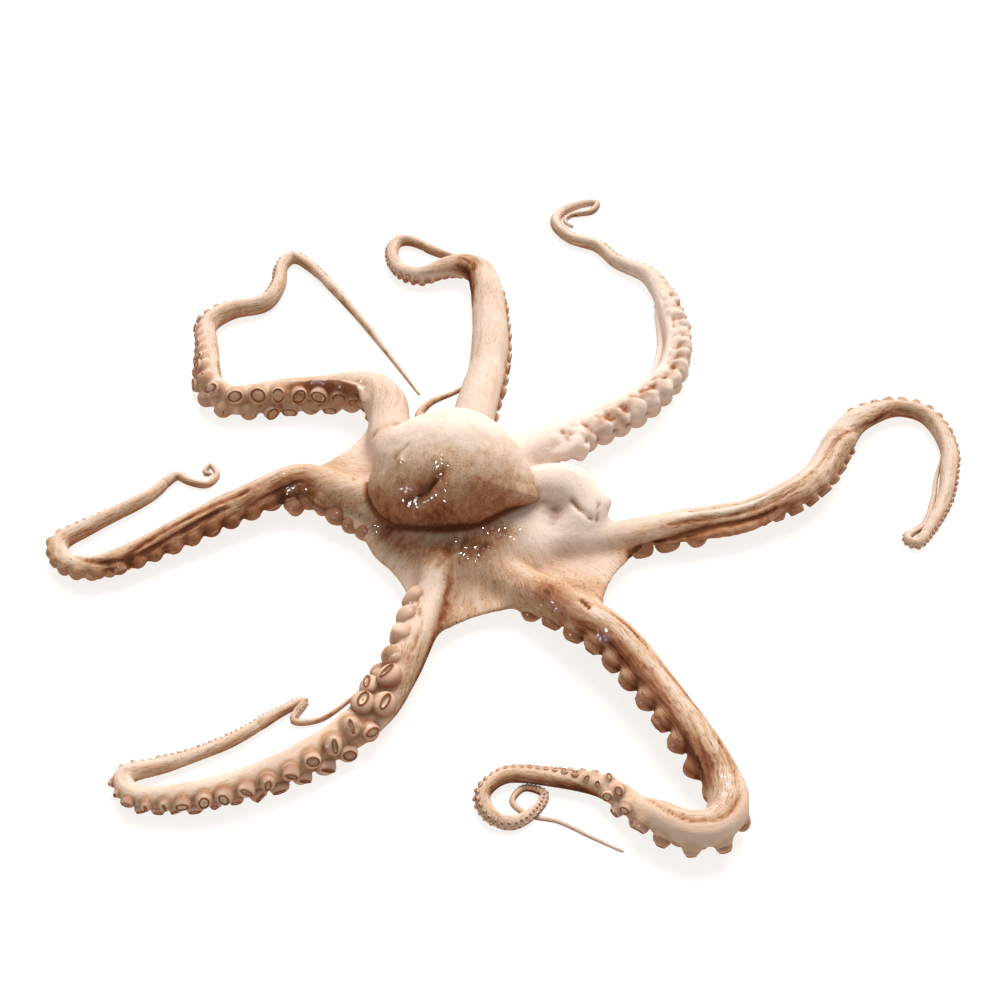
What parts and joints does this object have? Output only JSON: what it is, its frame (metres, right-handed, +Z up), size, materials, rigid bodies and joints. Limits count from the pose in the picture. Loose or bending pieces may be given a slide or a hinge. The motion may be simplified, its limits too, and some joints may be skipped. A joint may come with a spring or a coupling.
{
  "type": "raw octopus",
  "caption": "Whole raw octopus at rest: a rounded mantle on a low webbed crown, with long tapering arms that curl at their tips and carry rows of suckers.",
  "frame": {"origin": "flat underside of the mouth, under the middle of the crown", "axes": "+Z up, -Y towards the side the picture is taken from, +X to its right"},
  "size_m": [0.7255, 0.7507, 0.099],
  "materials": {
    "skin": "wet, soft and slightly glossy skin"
  },
  "bodies": {
    "root": {"octopus": "skin"}
  },
  "joints": []
}
